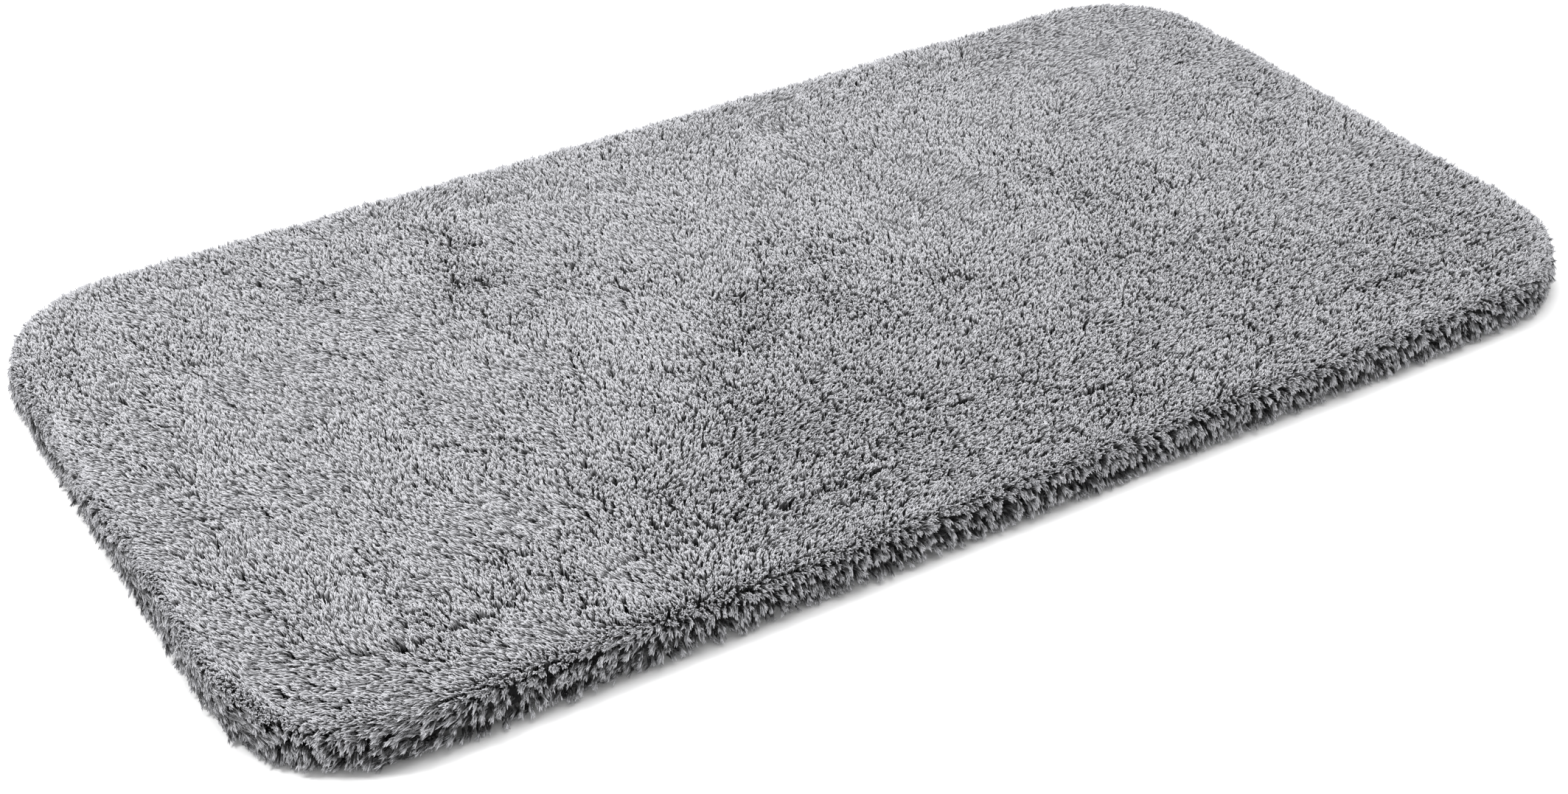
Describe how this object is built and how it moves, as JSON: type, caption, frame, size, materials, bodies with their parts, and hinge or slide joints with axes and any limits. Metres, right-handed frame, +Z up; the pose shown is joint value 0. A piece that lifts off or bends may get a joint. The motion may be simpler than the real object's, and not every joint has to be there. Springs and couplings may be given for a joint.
{
  "type": "bath mat",
  "caption": "Rectangular deep-pile bath mat with rounded corners, cut cotton tufts on a turned and taped backing, anti-slip coat beneath.",
  "frame": {"origin": "on the floor under the middle of the mat", "axes": "+X along the long side, +Y along the short side, +Z up out of the pile"},
  "size_m": [1.1, 0.6, 0.042],
  "materials": {
    "pile_yarn": "soft cut cotton yarn, cool mid grey",
    "backing_weave": "plain woven cotton, grey",
    "tape_twill": "cotton twill tape, grey",
    "thread": "sewing thread, grey",
    "label_ribbon": "white satin ribbon, blank",
    "latex": "matt sprayed latex, off white"
  },
  "bodies": {
    "root": {"backing_cloth": "backing_weave", "pile_field": "pile_yarn", "pile_border": "pile_yarn", "latex_coat": "latex", "hem_tape": "tape_twill", "stitch_row_outer": "thread", "stitch_row_inner": "thread", "care_label": "label_ribbon"}
  },
  "joints": []
}
